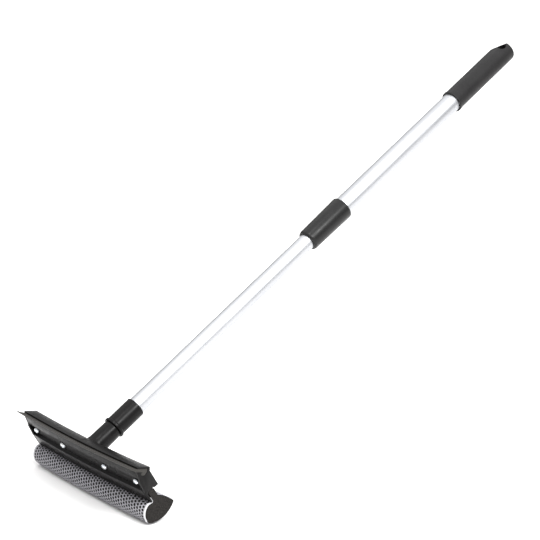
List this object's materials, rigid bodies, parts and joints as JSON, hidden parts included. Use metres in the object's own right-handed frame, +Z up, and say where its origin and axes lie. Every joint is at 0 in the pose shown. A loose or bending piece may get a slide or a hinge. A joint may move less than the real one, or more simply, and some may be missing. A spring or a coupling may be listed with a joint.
{
  "type": "window cleaning squeegee",
  "caption": "Window squeegee head with a rubber blade on one side and a net covered sponge on the other, on a telescopic tube pole with a twist lock.",
  "frame": {"origin": "on the floor, under the middle of the object's own box, with the sponge's front edge down and the pole leaning up and back", "axes": "+X along the head, +Y horizontally from the head towards the grip, +Z up; the pole rises 30 degrees from +Y"},
  "size_m": [0.2, 0.652, 0.4141],
  "materials": {
    "black_plastic": "fine moulded grain",
    "grip_plastic": "soft satin",
    "white_plastic": "smooth",
    "blade_rubber": "matt",
    "foam": "open cells",
    "net": "woven nylon net",
    "tube_aluminium": "satin anodised",
    "steel": "zinc plated"
  },
  "bodies": {
    "head": {"head_body": "black_plastic", "clamp_strip": "black_plastic", "rubber_blade": "blade_rubber", "sponge_foam": "foam", "net_cover": "net", "clamp_screw_1": "steel", "clamp_screw_2": "steel", "clamp_screw_3": "steel", "clamp_screw_4": "steel", "ferrule": "black_plastic", "lower_tube": "tube_aluminium", "cam_plug": "white_plastic", "cam_washer": "steel", "cam_screw": "steel"},
    "cam": {"cam_ring": "white_plastic"},
    "upper_pole": {"guide_bush": "white_plastic", "lock_collar": "black_plastic", "upper_tube": "tube_aluminium", "handle_grip": "grip_plastic"}
  },
  "joints": [
    {"name": "twist_lock", "type": "hinge", "parent": "head", "child": "cam", "pos_m": [0.0005, 0.05511, 0.25205], "axis": [0, 0.866, 0.5], "range_deg": [-25, 25]},
    {"name": "telescope", "type": "slide", "parent": "cam", "child": "upper_pole", "axis": [0, 0.866, 0.5], "range_m": [-0.271, 0.015]}
  ]
}
